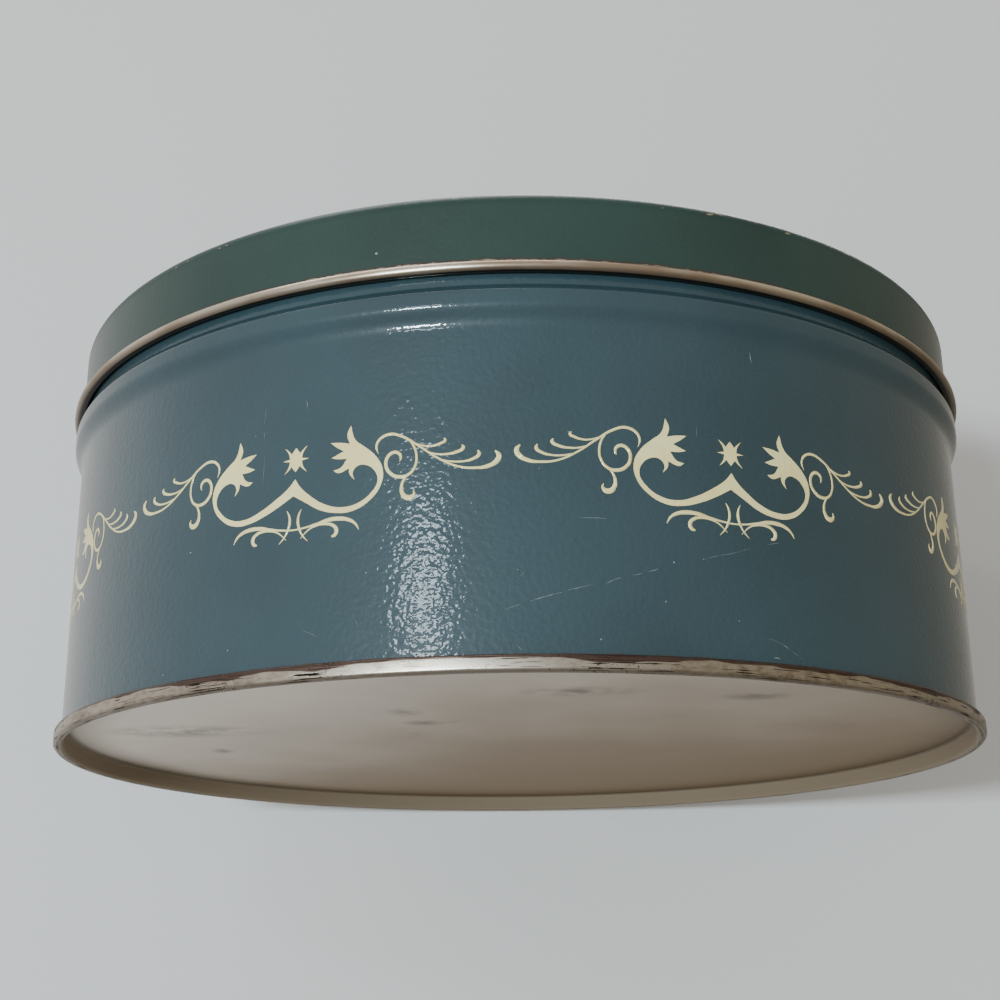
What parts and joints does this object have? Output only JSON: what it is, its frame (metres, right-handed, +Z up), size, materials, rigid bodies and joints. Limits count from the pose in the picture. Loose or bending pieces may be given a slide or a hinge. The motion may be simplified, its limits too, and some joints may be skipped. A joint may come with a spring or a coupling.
{
  "type": "cake tin",
  "caption": "Round slip-lid cake tin of sheet metal: rolled body with a stop bead, double-seamed base and a lift-off lid with a stepped top and a curled edge.",
  "frame": {"origin": "on the table plane, at the centre of the ring that the tin stands on", "axes": "+Z up along the tin's axis, through the lid; the side seam is at the back, on +Y, and the pictured side faces -Y"},
  "size_m": [0.2458, 0.2458, 0.108],
  "materials": {
    "body_enamel": "blue-green stoved enamel, satin, finely pebbled",
    "lid_enamel": "dark green stoved enamel, satin, finely pebbled",
    "tinplate": "bare tinplate, dulled and lightly pitted"
  },
  "bodies": {
    "tin": {"body_wall": "body_enamel", "base_plate": "tinplate"},
    "cover": {"lid": "lid_enamel"}
  },
  "joints": [
    {"name": "lid_lift", "type": "slide", "parent": "tin", "child": "cover", "axis": [0, 0, 1], "range_m": [0, 0.15]}
  ]
}
